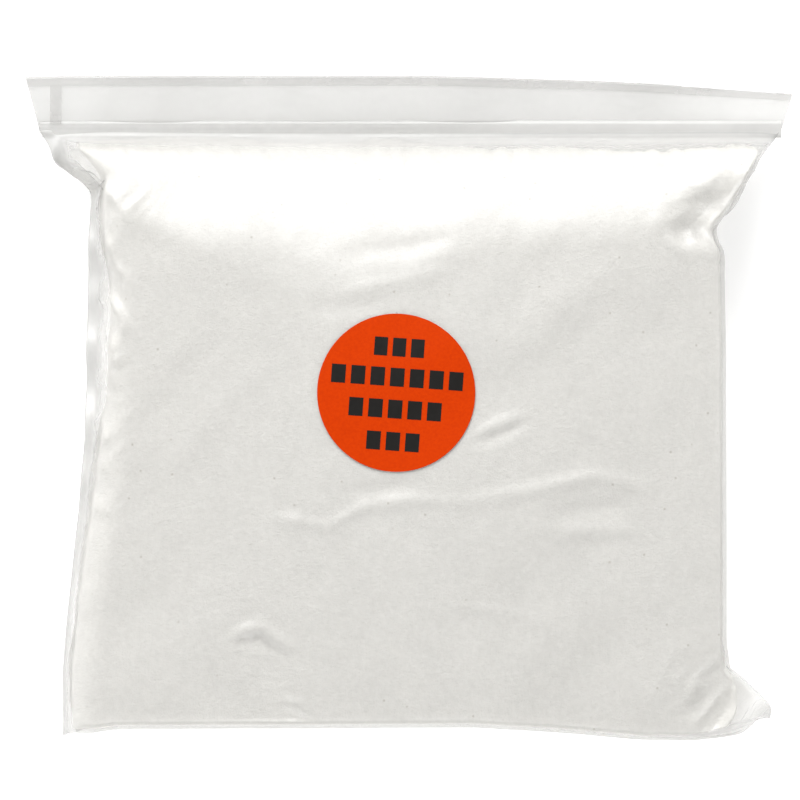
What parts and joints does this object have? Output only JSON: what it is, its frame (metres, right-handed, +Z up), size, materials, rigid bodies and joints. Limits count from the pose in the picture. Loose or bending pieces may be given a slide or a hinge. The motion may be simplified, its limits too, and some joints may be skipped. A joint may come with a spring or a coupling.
{
  "type": "bag of flour",
  "caption": "Clear film bag packed with white flour, shut by a flat strip across its mouth, lying on its back with a round paper label on its face.",
  "frame": {"origin": "on the table under the middle of the bag", "axes": "+X across the bag along its closure, +Y from the bottom seam to the mouth, +Z up from the back to the face with the label"},
  "size_m": [0.254, 0.217, 0.0498],
  "materials": {
    "film": "clear soft polythene, glossy, creased and puckered at the seams",
    "flour": "fine white powder, packed, matt",
    "label_paper": "orange coated paper, slight sheen",
    "label_ink": "black print"
  },
  "bodies": {
    "root": {"bag": "film", "label": "label_paper"}
  },
  "joints": []
}
